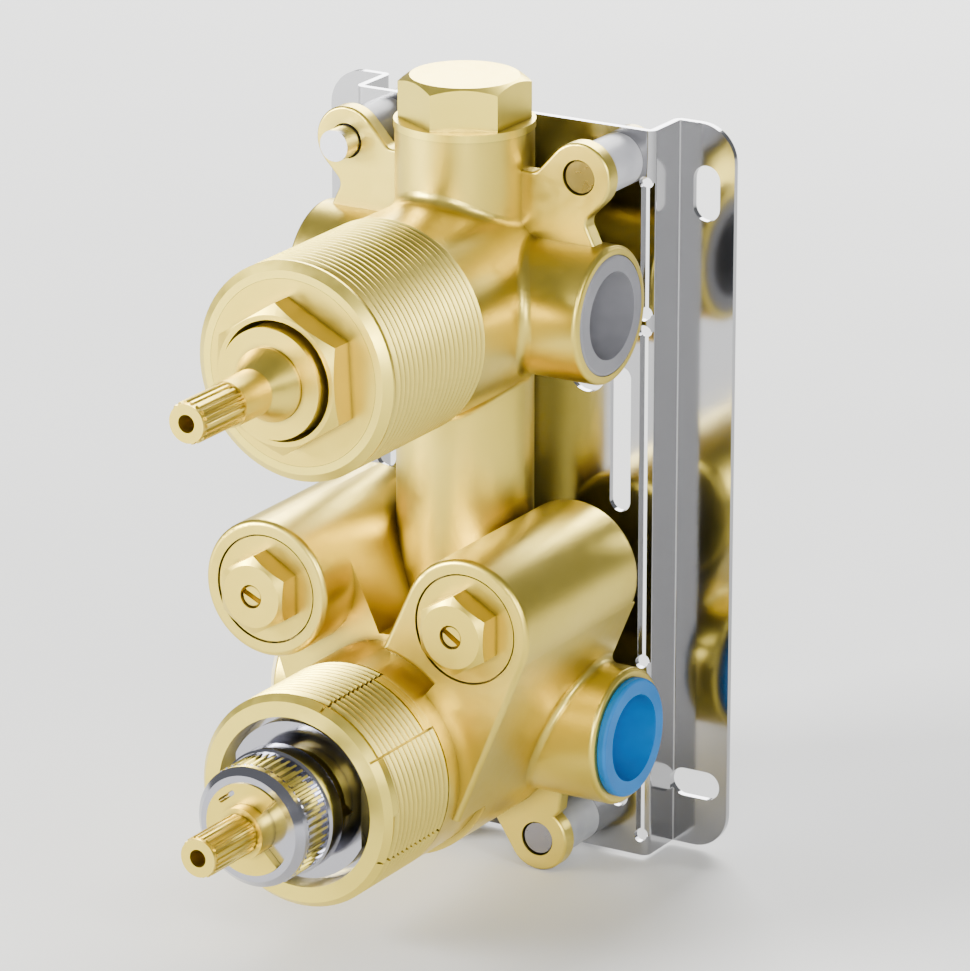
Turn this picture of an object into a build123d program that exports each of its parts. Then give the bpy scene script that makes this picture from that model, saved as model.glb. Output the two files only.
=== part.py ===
from build123d import *
from math import acos, asin, atan2, cos, hypot, pi, radians, sin, sqrt, tan
import os

# Concealed thermostatic mixing valve on its wall bracket, in millimetres.
# The wall is the plane y = 0 and the valve reaches forwards along -Y. Up is +Z, and z = 0 is the
# level of the two lower wall slots. Distances in front of the wall are called reach, and a turned
# section is a list of (reach, radius) points beside a front-to-back axis.

# Main places
barrel_spacing = 80.0
lower_z = 16.7
upper_z = lower_z + barrel_spacing
pipe_reach = 24.2

# Clearances
running_clearance = 0.05
thread_clearance = 0.06
seat_gap = 0.05

# Column and port tubes of the casting
column_radius = 12.7
column_rise = 111.2
column_top_z = lower_z + column_rise
upper_port_radius = 12.8
lower_port_radius = 12.8
upper_port_end = 30.6
lower_port_end = 34.6
waterway_radius = 8.0
pipe_thread_radius = 10.4
port_rim_round = 0.9
casting_fillet = 1.2
column_fillet = 2.0

# Threads of the two barrels, drawn as rings of their true pitch
thread_pitch = 1.5
barrel_thread_crest = 20.05
barrel_thread_depth = 0.75
barrel_thread_root = barrel_thread_crest - barrel_thread_depth

# Upper barrel of the casting
upper_barrel_radius = 19.6
upper_barrel_rear = 20.0
upper_barrel_front = 82.5
upper_nose_length = 1.6
upper_nose_radius = 18.5
upper_nose_land = 0.5
upper_thread_length = 30.9
upper_thread_front = upper_barrel_front - upper_nose_length
upper_thread_rear = upper_thread_front - upper_thread_length
upper_barrel_round = 3.0

# Lower barrel of the casting
lower_barrel_radius = 21.2
lower_barrel_rear = 19.0
lower_neck_inset = 1.2
lower_neck_radius = lower_barrel_radius - lower_neck_inset
lower_barrel_front = 83.5
lower_nose_length = 1.3
lower_nose_radius = 18.9
lower_thread_length = 19.2
lower_thread_front = lower_barrel_front - lower_nose_length
lower_thread_rear = lower_thread_front - lower_thread_length
lower_barrel_round = 2.0
thread_groove_width = 0.45
thread_groove_depth = 1.0
thread_groove_turns = (72.5, 33.4, -25.0)
rear_land_length = 3.0
rear_land_turns = (33.4, 72.5)
front_land_length = 1.8
front_land_turns = (2.4, 33.4)

# Stop pockets and webs of the casting
stop_x = 21.1
stop_rise = 29.25
stop_z = lower_z + stop_rise
pocket_radius = 12.96
pocket_rear = 18.5
pocket_front = 59.5
pocket_rear_round = 2.0
pocket_front_round = 1.0
left_web_front = 49.7
right_web_front = 54.7
web_rear = 19.0
web_inner_x = 2.6
web_inner_rise = 20.2
web_relief_radius = 22.5
web_relief_turn = 50.0
web_relief_span = 35.0
left_web_outer_x = 29.1
left_web_outer_rise = 24.2
left_web_foot_inset = 0.5
left_web_foot_x = lower_barrel_radius - left_web_foot_inset
web_edge_round = 0.8

# Mounting lugs of the casting
lug_offset = 1.3
lug_front = pipe_reach + lug_offset
lug_thickness = 3.0
lug_rear = lug_front - lug_thickness
lug_hole_radius = 3.3
upper_lug_x = 24.5
upper_lug_rise = 25.1
upper_lug_z = upper_z + upper_lug_rise
upper_lug_radius = 6.4
upper_lug_root_x = 8.0
upper_lug_root_rise = 11.0
upper_lug_notch_x = 15.6
upper_lug_notch_drop = 0.3
upper_lug_neck_x = 25.6
upper_lug_neck_drop = 8.0
upper_lug_foot_x = 28.6
lower_lug_x = 16.3
lower_lug_drop = 23.5
lower_lug_z = lower_z - lower_lug_drop
lower_lug_radius = 6.2
lower_lug_root_x = 3.5
lower_lug_root_drop = 15.0
lower_lug_inner_x = 10.9
lower_lug_inner_drop = 3.0
lower_lug_outer_x = 20.9
lower_lug_foot_x = 21.8
lower_lug_foot_drop = 10.0
lug_root_round = 2.0
lug_edge_round = 0.5

# Bracket plate
sheet = 1.2
panel_gap = 0.4
panel_front = pipe_reach - upper_port_radius - panel_gap
bracket_drop = 28.9
bracket_bottom = lower_z - bracket_drop
bracket_top = column_top_z
web_outer_x = 31.6
wing_end_x = 43.0
wing_corner_radius = 7.0
bend_radius = 1.5
wall_slot_width = 5.5
upper_slot_x = 37.3
upper_slot_rise = 98.1
upper_slot_z = lower_z + upper_slot_rise
upper_slot_length = 10.5
lower_slot_x = 36.3
lower_slot_length = 10.2
fold_slot_inner_x = 29.6
fold_slot_back = 10.0
fold_slot_runs = ((-25.1, 5.8), (9.4, 73.4), (76.6, 101.45))
fold_slot_end_radius = 1.2
panel_slot_x = 25.25
panel_slot_width = 4.3
panel_slot_run = (38.1, 66.0)
panel_low_slot_run = (-20.0, -12.5)
panel_hole_x = 18.2
panel_hole_rise = 64.0
panel_hole_z = lower_z + panel_hole_rise
panel_hole_radius = 3.9

# Screws and spacers between bracket and casting
screw_radius = 2.95
screw_head_radius = 5.25
screw_head_height = 4.3
screw_socket_af = 4.0
screw_socket_depth = 2.5
screw_hole_radius = 3.3
spacer_radius = 5.0
spacer_hole_radius = 3.2
screw_recess = 0.5
screw_proud = 4.3

# Blanking cap on the column
cap_flange_radius = 12.9
cap_flange_height = 1.4
cap_hex_af = 21.0
cap_height = 9.4
cap_top_z = column_top_z + cap_height
cap_chamfer_radius = 10.0
cap_chamfer_slope = 0.6
cap_thread_length = 9.0
cap_seal_thickness = 1.2

# Flow cartridge in the upper barrel
gland_flange_radius = 17.0
gland_flange_depth = 1.3
gland_thread_radius = 16.5
gland_rear = 71.5
gland_hex_af = 24.0
gland_hex_front = 88.0
gland_hex_turn = 33.0
gland_chamfer_radius = 11.9
gland_chamfer_length = 1.07
gland_bore_radius = 11.0
flow_body_radius = 15.0
flow_bore_rear = 42.0
flow_collar_radius = 10.1
flow_collar_front = 90.0
flow_journal_radius = 6.7
flow_journal_rear = 62.0
flow_chamber_radius = 12.8
flow_driver_rear = 58.0
moving_disc_thickness = 4.0
fixed_disc_thickness = 4.0
disc_way_place = 6.5
disc_way_radius = 3.0
flow_journal_land = 0.6
flow_cone_front = 95.5
flow_shaft_radius = 4.2
flow_spline_rear = 103.5
flow_spline_radius = 3.87
flow_spline_depth = 0.38
flow_spline_count = 18
flow_tip = 116.0
spindle_screw_radius = 1.65
spindle_screw_depth = 11.0
spline_end_land = 0.8

# Temperature cartridge in the lower barrel
nut_bore_radius = 16.0
nut_front = 82.0
nut_rear = 71.2
nut_thread_front = 78.5
nut_head_radius = 14.7
nut_head_half_width = 13.2
nut_hole_radius = 10.0
nut_corner_radius = 11.5
cartridge_bore_radius = 14.6
cartridge_rear = 32.0
cartridge_neck_radius = 9.0
cartridge_neck_front = 96.0
rear_ring_radius = 11.9
rear_ring_rear = 85.6
rear_ring_front = 89.75
knurl_radius = 11.35
knurl_depth = 0.6
knurl_count = 50
knurl_front = 96.0
front_ring_radius = 11.2
front_ring_front = 98.5
front_ring_chamfer = 1.3
stop_disc_radius = 8.6
stop_disc_front = 98.8
stop_disc_thickness = 1.6
stop_disc_notch_turns = (-45.0, 50.0)
stop_disc_slot_place = 6.9
stop_disc_slot_turn = 128.0
stop_disc_slot_length = 4.0
stop_disc_slot_width = 0.9
clip_radius = 4.8
clip_front = 101.3
temperature_shaft_land = 0.4
temperature_shaft_radius = 3.6
temperature_spline_radius = 3.81
temperature_spline_depth = 0.3
temperature_spline_count = 22
temperature_tip = 114.6
drive_screw_radius = 5.0
drive_screw_front = 80.0
drive_screw_rear = 67.0
drive_collar_length = 2.5
drive_nut_radius = 8.0
drive_nut_front = 77.0
drive_nut_rear = 62.0
drive_nut_floor = 3.0
regulator_travel = 0.75
wax_cap_radius = 4.5
wax_body_radius = 5.5
wax_body_front = 58.0
wax_body_rear = 46.0
wax_stem_radius = 3.0
wax_stem_rear = 39.0
shuttle_radius = 11.0
shuttle_front = 56.0
shuttle_rear = 48.0
spring_wire_radius = 0.7
spring_radius = 6.6
spring_turns = 3.0
cartridge_end_wall = 2.5
cartridge_outlet_radius = 7.0
ring_edge_bevel = 0.4
ring_seal_width = 2.0
ring_seal_depth = 1.4
ring_seal_places = (36.0, 46.0, 66.0)

# Service stops
insert_radius = 10.0
insert_front = 59.3
insert_rear = 47.0
insert_mouth_gap = 0.35
insert_mouth_depth = 1.5
insert_hex_af = 13.0
insert_hex_front = 64.4
insert_chamfer_radius = 5.9
insert_chamfer_length = 0.9
insert_cavity_radius = 6.6
insert_cavity_front = 56.5
stop_shank_radius = 2.2
stop_shank_bevel = 0.4
stop_shank_front = 64.0
stop_collar_radius = 4.0
stop_collar_length = 2.0
stop_screw_radius = 2.9
stop_screw_rear = 43.0
stop_slot_width = 1.05
stop_slot_depth = 1.5
stop_slot_turns = {"left": -25.0, "right": -33.0}
gland_ring_length = 1.5
closer_length = 12.0
closer_radius = 6.5
closer_travel = 3.0
closer_front_gap = 0.3
closer_seat_gap = 0.3
closer_floor = 2.0
stop_chamber_radius = 8.0
stop_seat_radius = 5.0
supply_passage_radius = 4.5
stop_passage_reach = 42.0

# Plastic plugs in the four ports
plug_flange_radius = 11.1
plug_flange_thickness = 1.5
plug_upper_proud = 0.25
plug_shank_length = 9.0
port_mouth_depth = 12.0
plug_recess_radius = 8.1
plug_edge_round = 0.6
plug_recess_depth = 9.0

sides = {"left": -1, "right": 1}


def front_axis(x, z):
    """The front-to-back axis at a place on the valve."""
    return Axis((x, 0, z), (0, -1, 0))


def section_plane(x, z, turn=90.0):
    """The plane of a turned section: reach along its first axis, radius along its second."""
    return Plane(origin=(x, 0, z), x_dir=(0, -1, 0), z_dir=(-sin(radians(turn)), 0, cos(radians(turn))))


def turned_section(points, x=0.0, z=0.0, rounds=(), turn=90.0):
    """A closed section of (reach, radius) points, with (corner, radius) rounds."""
    with BuildSketch(section_plane(x, z, turn)) as section:
        with BuildLine():
            Polyline(*points, close=True)
        make_face()
        for corner, round_radius in rounds:
            fillet(section.vertices().sort_by_distance((*corner, 0))[0], round_radius)
    return section.sketch


def crease(casting, x, reach, z):
    """The edge of the casting nearest to a place."""
    return casting.edges().sort_by_distance((x, -reach, z))[0]


def lug_rims(casting, barrel_z, direction, port_radius, barrel_radius, inner_x):
    """The front edges of a barrel's lugs, clear of the creases where they join the casting."""
    rims = casting.edges().filter_by_position(Axis.Y, -lug_front, -lug_front)
    return [
        rim
        for rim in rims
        if direction * (rim.center().Z - barrel_z) > port_radius
        and hypot(rim.center().X, rim.center().Z - barrel_z) > barrel_radius + lug_edge_round
        and abs(rim.center().X) > inner_x
    ]


def thread_ridges(rear, front):
    """Corners of the rings of a barrel thread, each with a flat crest and sloping sides."""
    slope = barrel_thread_depth * tan(radians(30))
    crest_width = thread_pitch / 8
    points = []
    for ridge in range(int((front - rear) / thread_pitch)):
        foot = rear + ridge * thread_pitch
        points += [
            (foot, barrel_thread_root),
            (foot + slope, barrel_thread_crest),
            (foot + slope + crest_width, barrel_thread_crest),
            (foot + 2 * slope + crest_width, barrel_thread_root),
        ]
    return points


def toothed_outline(tip_radius, tooth_depth, count):
    """Corners of a ring of straight-sided teeth, each with a flat crest and a flat root."""
    points = []
    for number in range(count):
        for radius, share in (
            (tip_radius - tooth_depth, -0.36),
            (tip_radius, -0.16),
            (tip_radius, 0.16),
            (tip_radius - tooth_depth, 0.36),
        ):
            turn = 2 * pi * (number + share) / count
            points.append((radius * cos(turn), radius * sin(turn)))
    return points


def save(part, name):
    part.label = name
    export_step(part, f"parts/{name}.step")


os.makedirs("parts", exist_ok=True)

# The casting: column, port tubes, two barrels, two stop pockets with their webs, four lugs
upper_axis = front_axis(0, upper_z)
lower_axis = front_axis(0, lower_z)
upper_counterbore_radius = gland_flange_radius + thread_clearance
gland_bore = gland_thread_radius + thread_clearance
flow_bore = flow_body_radius + thread_clearance

# The stop's inner pieces stand one behind the other
shank_hole = stop_shank_radius + running_clearance
collar_front = insert_cavity_front - running_clearance
collar_rear = collar_front - stop_collar_length
gland_ring_front = collar_rear - running_clearance
closer_front = gland_ring_front - gland_ring_length - closer_front_gap
closer_rear = closer_front - closer_length

# Each web's sides touch its pocket's circle
pocket_distance = hypot(stop_x, stop_rise)
outer_turn = atan2(stop_rise, stop_x) - acos((lower_barrel_radius - pocket_radius) / pocket_distance)
outer_tangent_x = stop_x + pocket_radius * cos(outer_turn)
outer_tangent_z = stop_z + pocket_radius * sin(outer_turn)
inner_run = hypot(stop_x - web_inner_x, stop_rise - web_inner_rise)
inner_slope = atan2(stop_rise - web_inner_rise, stop_x - web_inner_x) + asin(pocket_radius / inner_run)
inner_tangent_x = stop_x - pocket_radius * sin(inner_slope)
inner_tangent_z = stop_z + pocket_radius * cos(inner_slope)

with BuildPart() as valve_body:
    with BuildSketch(Plane.XY.offset(lower_z)):
        with Locations((0, -pipe_reach)):
            Circle(column_radius)
    extrude(amount=column_top_z - lower_z)
    for port_z, port_end, port_radius in (
        (upper_z, upper_port_end, upper_port_radius),
        (lower_z, lower_port_end, lower_port_radius),
    ):
        with BuildSketch(Plane.YZ.offset(-port_end)):
            with Locations((-pipe_reach, port_z)):
                Circle(port_radius)
        extrude(amount=2 * port_end)

    # Stop pockets, and the web that joins each of them to the lower barrel
    pocket_rear_corner = (pocket_rear, pocket_radius)
    pocket_front_corner = (pocket_front, pocket_radius)
    for side in sides.values():
        revolve(
            turned_section(
                [(pocket_rear, 0), pocket_rear_corner, pocket_front_corner, (pocket_front, 0)],
                x=side * stop_x,
                z=stop_z,
                rounds=((pocket_rear_corner, pocket_rear_round),),
            ),
            axis=front_axis(side * stop_x, stop_z),
        )
    with BuildSketch(Plane.XZ.offset(web_rear)):
        with BuildLine():
            Polyline(
                (0, lower_z),
                (-web_inner_x, lower_z + web_inner_rise),
                (-inner_tangent_x, inner_tangent_z),
                (-stop_x, stop_z),
                (-left_web_outer_x, lower_z + left_web_outer_rise),
                (-left_web_foot_x, lower_z),
                close=True,
            )
        make_face()
    extrude(amount=left_web_front - web_rear)

    # The right web comes level with the rim, and its outer side runs on to the barrel
    with BuildSketch(Plane.XZ.offset(web_rear)):
        with BuildLine():
            Polyline(
                (0, lower_z),
                (web_inner_x, lower_z + web_inner_rise),
                (inner_tangent_x, inner_tangent_z),
                (stop_x, stop_z),
                (outer_tangent_x, outer_tangent_z),
                (lower_barrel_radius * cos(outer_turn), lower_z + lower_barrel_radius * sin(outer_turn)),
                close=True,
            )
        make_face()
    extrude(amount=pocket_front - web_rear)
    # It is cut back round the thread
    revolve(
        turned_section(
            [
                (right_web_front, 0),
                (right_web_front, web_relief_radius),
                (pocket_front, web_relief_radius),
                (pocket_front, 0),
            ],
            z=lower_z,
            turn=web_relief_turn,
        ),
        axis=front_axis(0, lower_z),
        revolution_arc=web_relief_span,
        mode=Mode.SUBTRACT,
    )
    rims = edges().filter_by_position(Axis.Y, -pocket_front, -pocket_front)
    rims = [rim for rim in rims if hypot(rim.center().X, rim.center().Z - lower_z) > lower_barrel_radius]
    fillet(rims, pocket_front_round)

    # Upper barrel, with a smooth back, a threaded front and a bevelled nose
    upper_rear_corner = (upper_barrel_rear, upper_barrel_radius)
    revolve(
        turned_section(
            [
                (upper_barrel_rear, 0),
                upper_rear_corner,
                (upper_thread_rear, upper_barrel_radius),
                *thread_ridges(upper_thread_rear, upper_thread_front),
                (upper_thread_front, barrel_thread_root),
                (upper_thread_front, barrel_thread_crest),
                (upper_thread_front + upper_nose_land, barrel_thread_crest),
                (upper_barrel_front, upper_nose_radius),
                (upper_barrel_front, 0),
            ],
            z=upper_z,
            rounds=((upper_rear_corner, upper_barrel_round),),
        ),
        axis=upper_axis,
    )

    # Lower barrel, thicker behind its thread
    lower_rear_corner = (lower_barrel_rear, lower_barrel_radius)
    revolve(
        turned_section(
            [
                (lower_barrel_rear, 0),
                lower_rear_corner,
                (left_web_front, lower_barrel_radius),
                (left_web_front, lower_neck_radius),
                (lower_thread_rear, lower_neck_radius),
                *thread_ridges(lower_thread_rear, lower_thread_front),
                (lower_thread_front, barrel_thread_root),
                (lower_thread_front, barrel_thread_crest),
                (lower_barrel_front, lower_nose_radius),
                (lower_barrel_front, 0),
            ],
            z=lower_z,
            rounds=((lower_rear_corner, lower_barrel_round),),
        ),
        axis=lower_axis,
    )

    # Two plain lands interrupt the lower thread between its grooves
    for (low_turn, high_turn), land_rear, land_front, land_radius in (
        (rear_land_turns, lower_thread_rear, lower_thread_rear + rear_land_length, lower_neck_radius),
        (front_land_turns, lower_thread_front - front_land_length, lower_thread_front, barrel_thread_crest),
    ):
        revolve(
            turned_section(
                [
                    (land_rear, cartridge_bore_radius),
                    (land_rear, land_radius),
                    (land_front, land_radius),
                    (land_front, cartridge_bore_radius),
                ],
                z=lower_z,
                turn=low_turn,
            ),
            axis=lower_axis,
            revolution_arc=high_turn - low_turn,
        )

    # Upper lugs stand on the port tubes and reach out from the column
    slant = upper_lug_radius * sin(radians(45))
    notch_z = upper_lug_z - upper_lug_notch_drop
    neck_z = upper_lug_z - upper_lug_neck_drop
    root_z = upper_z + upper_lug_root_rise
    for side in sides.values():
        with BuildSketch(Plane.XZ.offset(lug_rear)) as upper_lug:
            with BuildLine():
                Polyline(
                    (side * upper_lug_root_x, root_z),
                    (side * upper_lug_root_x, notch_z),
                    (side * upper_lug_notch_x, notch_z),
                    (side * (upper_lug_x - slant), upper_lug_z + slant),
                    (side * upper_lug_x, upper_lug_z),
                    (side * (upper_lug_x + slant), upper_lug_z - slant),
                    (side * upper_lug_neck_x, neck_z),
                    (side * upper_lug_foot_x, root_z),
                    close=True,
                )
            make_face()
            with Locations((side * upper_lug_x, upper_lug_z)):
                Circle(upper_lug_radius)
            neck = upper_lug.vertices().sort_by_distance((side * upper_lug_neck_x, neck_z, 0))[0]
            notch = upper_lug.vertices().sort_by_distance((side * upper_lug_notch_x, notch_z, 0))[0]
            fillet([neck, notch], lug_root_round)
        extrude(amount=lug_thickness)

    # Lower lugs hang under the barrel
    lower_root_z = lower_z - lower_lug_root_drop
    lower_foot_z = lower_z - lower_lug_foot_drop
    for side in sides.values():
        with BuildSketch(Plane.XZ.offset(lug_rear)) as lower_lug:
            with BuildLine():
                Polyline(
                    (side * lower_lug_root_x, lower_root_z),
                    (side * lower_lug_inner_x, lower_lug_z - lower_lug_inner_drop),
                    (side * lower_lug_x, lower_lug_z),
                    (side * lower_lug_outer_x, lower_lug_z + lower_lug_radius),
                    (side * lower_lug_foot_x, lower_foot_z),
                    (side * lower_lug_root_x, lower_foot_z),
                    close=True,
                )
            make_face()
            with Locations((side * lower_lug_x, lower_lug_z)):
                Circle(lower_lug_radius)
        extrude(amount=lug_thickness)

    # Rounded mouths of the ports and the column
    for port_end in (upper_port_end, lower_port_end):
        for side in sides.values():
            mouth = edges().filter_by_position(Axis.X, side * port_end, side * port_end)
            fillet(mouth, port_rim_round)

    # Casting fillets where the column and the upper port tubes meet the upper barrel
    half = column_radius / 2
    crease_reach = pipe_reach + sqrt(column_radius**2 - half**2)
    crease_rise = sqrt(upper_barrel_radius**2 - half**2)
    tube_front = pipe_reach + upper_port_radius
    fillet(
        [
            crease(valve_body, -half, crease_reach, upper_z + crease_rise),
            crease(valve_body, half, crease_reach, upper_z + crease_rise),
            crease(valve_body, 0, pipe_reach + column_radius, upper_z - upper_barrel_radius),
            crease(valve_body, -upper_barrel_radius, tube_front, upper_z),
            crease(valve_body, upper_barrel_radius, tube_front, upper_z),
        ],
        column_fillet,
    )

    # Casting fillets where the right lower port tube meets the lower barrel and its web
    tube_front = pipe_reach + lower_port_radius
    fall = 0.8 * lower_port_radius
    fall_reach = pipe_reach + sqrt(lower_port_radius**2 - fall**2)
    foot_x = lower_barrel_radius * cos(outer_turn)
    foot_z = lower_z + lower_barrel_radius * sin(outer_turn)
    wall_slope = (outer_tangent_x - foot_x) / (outer_tangent_z - foot_z)
    fillet(
        [
            crease(valve_body, foot_x + (lower_z - foot_z) * wall_slope, tube_front, lower_z),
            crease(valve_body, sqrt(lower_barrel_radius**2 - fall**2), fall_reach, lower_z - fall),
        ],
        casting_fillet,
    )

    # Soft edge of the left web, and soft front edges of the lugs
    edge_x = (left_web_outer_x + left_web_foot_x) / 2
    edge_z = lower_z + left_web_outer_rise / 2
    fillet(crease(valve_body, -edge_x, left_web_front, edge_z), web_edge_round)
    upper_rims = lug_rims(valve_body, upper_z, 1, upper_port_radius, upper_barrel_radius, column_radius)
    lower_rims = lug_rims(valve_body, lower_z, -1, lower_port_radius, lower_barrel_radius, 0)
    fillet(upper_rims + lower_rims, lug_edge_round)

    # Screw holes in the lugs
    for lug_x, lug_z in ((upper_lug_x, upper_lug_z), (lower_lug_x, lower_lug_z)):
        for side in sides.values():
            with BuildSketch(Plane.XZ.offset(lug_rear)):
                with Locations((side * lug_x, lug_z)):
                    Circle(lug_hole_radius)
            extrude(amount=lug_thickness, mode=Mode.SUBTRACT)

    # Bore of the upper barrel for the gland nut and the flow cartridge
    revolve(
        turned_section(
            [
                (pipe_reach, 0),
                (pipe_reach, waterway_radius),
                (flow_bore_rear, waterway_radius),
                (flow_bore_rear, flow_bore),
                (gland_rear, flow_bore),
                (gland_rear, gland_bore),
                (upper_barrel_front - gland_flange_depth, gland_bore),
                (upper_barrel_front - gland_flange_depth, upper_counterbore_radius),
                (upper_barrel_front, upper_counterbore_radius),
                (upper_barrel_front, 0),
            ],
            z=upper_z,
        ),
        axis=upper_axis,
        mode=Mode.SUBTRACT,
    )

    # Bore of the lower barrel for the ring nut and the temperature cartridge
    revolve(
        turned_section(
            [
                (pipe_reach, 0),
                (pipe_reach, cartridge_outlet_radius),
                (cartridge_rear, cartridge_outlet_radius),
                (cartridge_rear, cartridge_bore_radius),
                (nut_rear, cartridge_bore_radius),
                (nut_rear, nut_bore_radius),
                (lower_barrel_front, nut_bore_radius),
                (lower_barrel_front, 0),
            ],
            z=lower_z,
        ),
        axis=lower_axis,
        mode=Mode.SUBTRACT,
    )

    # Stop pockets are bored for their inserts, with a chamber and a seat behind
    stop_chamber_rear = closer_rear - closer_travel - closer_seat_gap
    for side in sides.values():
        revolve(
            turned_section(
                [
                    (pipe_reach, 0),
                    (pipe_reach, stop_seat_radius),
                    (stop_chamber_rear, stop_seat_radius),
                    (stop_chamber_rear, stop_chamber_radius),
                    (insert_rear, stop_chamber_radius),
                    (insert_rear, insert_radius + thread_clearance),
                    (pocket_front - insert_mouth_depth, insert_radius + thread_clearance),
                    (pocket_front - insert_mouth_depth, insert_radius + insert_mouth_gap),
                    (pocket_front, insert_radius + insert_mouth_gap),
                    (pocket_front, 0),
                ],
                x=side * stop_x,
                z=stop_z,
            ),
            axis=front_axis(side * stop_x, stop_z),
            mode=Mode.SUBTRACT,
        )

    # Column waterway, with a wider threaded mouth under the cap
    with BuildSketch(Plane.XY.offset(lower_z - cartridge_outlet_radius)):
        with Locations((0, -pipe_reach)):
            Circle(waterway_radius)
    extrude(amount=column_top_z - lower_z + cartridge_outlet_radius, mode=Mode.SUBTRACT)
    cap_mouth_depth = cap_thread_length + cap_seal_thickness
    with BuildSketch(Plane.XY.offset(column_top_z)):
        with Locations((0, -pipe_reach)):
            Circle(pipe_thread_radius + thread_clearance)
    extrude(amount=-cap_mouth_depth, mode=Mode.SUBTRACT)

    # Port waterways and threaded mouths
    for side in sides.values():
        for port_z, port_end, inner_end in (
            (upper_z, upper_port_end, 0.0),
            (lower_z, lower_port_end, stop_x),
        ):
            with BuildSketch(Plane.YZ.offset(side * inner_end)):
                with Locations((-pipe_reach, port_z)):
                    Circle(supply_passage_radius if inner_end else waterway_radius)
            extrude(amount=side * (port_end - inner_end), mode=Mode.SUBTRACT)
            with BuildSketch(Plane.YZ.offset(side * port_end)):
                with Locations((-pipe_reach, port_z)):
                    Circle(pipe_thread_radius + thread_clearance)
            extrude(amount=-side * port_mouth_depth, mode=Mode.SUBTRACT)
        with BuildSketch(Plane.YZ.offset(side * upper_port_end)):
            with Locations((-pipe_reach, upper_z)):
                Circle(plug_flange_radius + thread_clearance)
        extrude(amount=side * (plug_upper_proud - plug_flange_thickness), mode=Mode.SUBTRACT)
        # From the stop down to the cartridge, inside the web
        to_barrel = Plane(
            origin=(side * stop_x, -stop_passage_reach, stop_z),
            z_dir=(-side * stop_x, 0, -stop_rise),
        )
        with BuildSketch(to_barrel):
            Circle(supply_passage_radius)
        extrude(amount=hypot(stop_x, stop_rise), mode=Mode.SUBTRACT)
        # From the port up to the stop
        with BuildSketch(Plane.XY.offset(lower_z)):
            with Locations((side * stop_x, -pipe_reach)):
                Circle(supply_passage_radius)
        extrude(amount=stop_rise, mode=Mode.SUBTRACT)

    # Grooves cut lengthwise through the lower thread
    for turn in thread_groove_turns:
        groove_plane = Plane(
            origin=(0, 0, lower_z),
            x_dir=(cos(radians(turn)), 0, sin(radians(turn))),
            z_dir=(0, -1, 0),
        ).offset(lower_thread_rear)
        with BuildSketch(groove_plane):
            with Locations((barrel_thread_crest, 0)):
                Rectangle(2 * thread_groove_depth, thread_groove_width)
        extrude(amount=lower_barrel_front - lower_thread_rear, mode=Mode.SUBTRACT)

save(valve_body.part, "valve_body")

# Hex blanking cap with a round flange and a threaded shank, on a flat seal
cap_hex_corner = cap_hex_af / 2 / cos(pi / 6)
with BuildPart() as top_cap:
    with BuildSketch(Plane.XY.offset(column_top_z + seat_gap)):
        with Locations((0, -pipe_reach)):
            Circle(cap_flange_radius)
    extrude(amount=cap_flange_height)
    with BuildSketch(Plane.XY.offset(column_top_z + cap_flange_height)):
        with Locations((0, -pipe_reach)):
            RegularPolygon(cap_hex_af / 2, 6, major_radius=False, rotation=30)
    extrude(amount=cap_top_z - column_top_z - cap_flange_height)
    # The corners are turned off at the top
    bevel_height = (cap_hex_corner - cap_chamfer_radius) * cap_chamfer_slope
    with BuildSketch(Plane(origin=(0, -pipe_reach, 0), x_dir=(1, 0, 0), z_dir=(0, -1, 0))):
        with BuildLine():
            Polyline(
                (cap_chamfer_radius, cap_top_z),
                (cap_hex_corner + 1, cap_top_z),
                (cap_hex_corner + 1, cap_top_z - bevel_height),
                (cap_hex_corner, cap_top_z - bevel_height),
                close=True,
            )
        make_face()
    revolve(axis=Axis((0, -pipe_reach, 0), (0, 0, 1)), mode=Mode.SUBTRACT)
    with BuildSketch(Plane.XY.offset(column_top_z + seat_gap)):
        with Locations((0, -pipe_reach)):
            Circle(pipe_thread_radius)
    extrude(amount=-cap_thread_length)
save(top_cap.part, "top_cap")

with BuildPart() as top_cap_seal:
    with BuildSketch(Plane.XY.offset(column_top_z - cap_mouth_depth)):
        with Locations((0, -pipe_reach)):
            Circle(pipe_thread_radius)
            Circle(waterway_radius, mode=Mode.SUBTRACT)
    extrude(amount=cap_seal_thickness)
save(top_cap_seal.part, "top_cap_seal")

# Gland nut of the flow cartridge: threaded body, flange sunk in the rim, hex head
flange_rear = upper_barrel_front - gland_flange_depth + seat_gap
with BuildPart() as flow_gland_nut:
    revolve(
        turned_section(
            [
                (gland_rear, 0),
                (gland_rear, gland_thread_radius),
                (flange_rear, gland_thread_radius),
                (flange_rear, gland_flange_radius),
                (upper_barrel_front, gland_flange_radius),
                (upper_barrel_front, 0),
            ],
            z=upper_z,
        ),
        axis=upper_axis,
    )
    with BuildSketch(Plane.XZ.offset(upper_barrel_front)):
        with Locations((0, upper_z)):
            RegularPolygon(gland_hex_af / 2, 6, major_radius=False, rotation=gland_hex_turn)
    extrude(amount=gland_hex_front - upper_barrel_front)
    # The corners are turned off at the front
    gland_corner = gland_hex_af / 2 / cos(pi / 6)
    revolve(
        turned_section(
            [
                (gland_hex_front, gland_chamfer_radius),
                (gland_hex_front, gland_corner + 1),
                (gland_hex_front - gland_chamfer_length, gland_corner + 1),
                (gland_hex_front - gland_chamfer_length, gland_corner),
            ],
            z=upper_z,
        ),
        axis=upper_axis,
        mode=Mode.SUBTRACT,
    )
    with BuildSketch(Plane.XZ.offset(gland_rear)):
        with Locations((0, upper_z)):
            Circle(gland_bore_radius)
    extrude(amount=gland_hex_front - gland_rear, mode=Mode.SUBTRACT)
save(flow_gland_nut.part, "flow_gland_nut")

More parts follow.
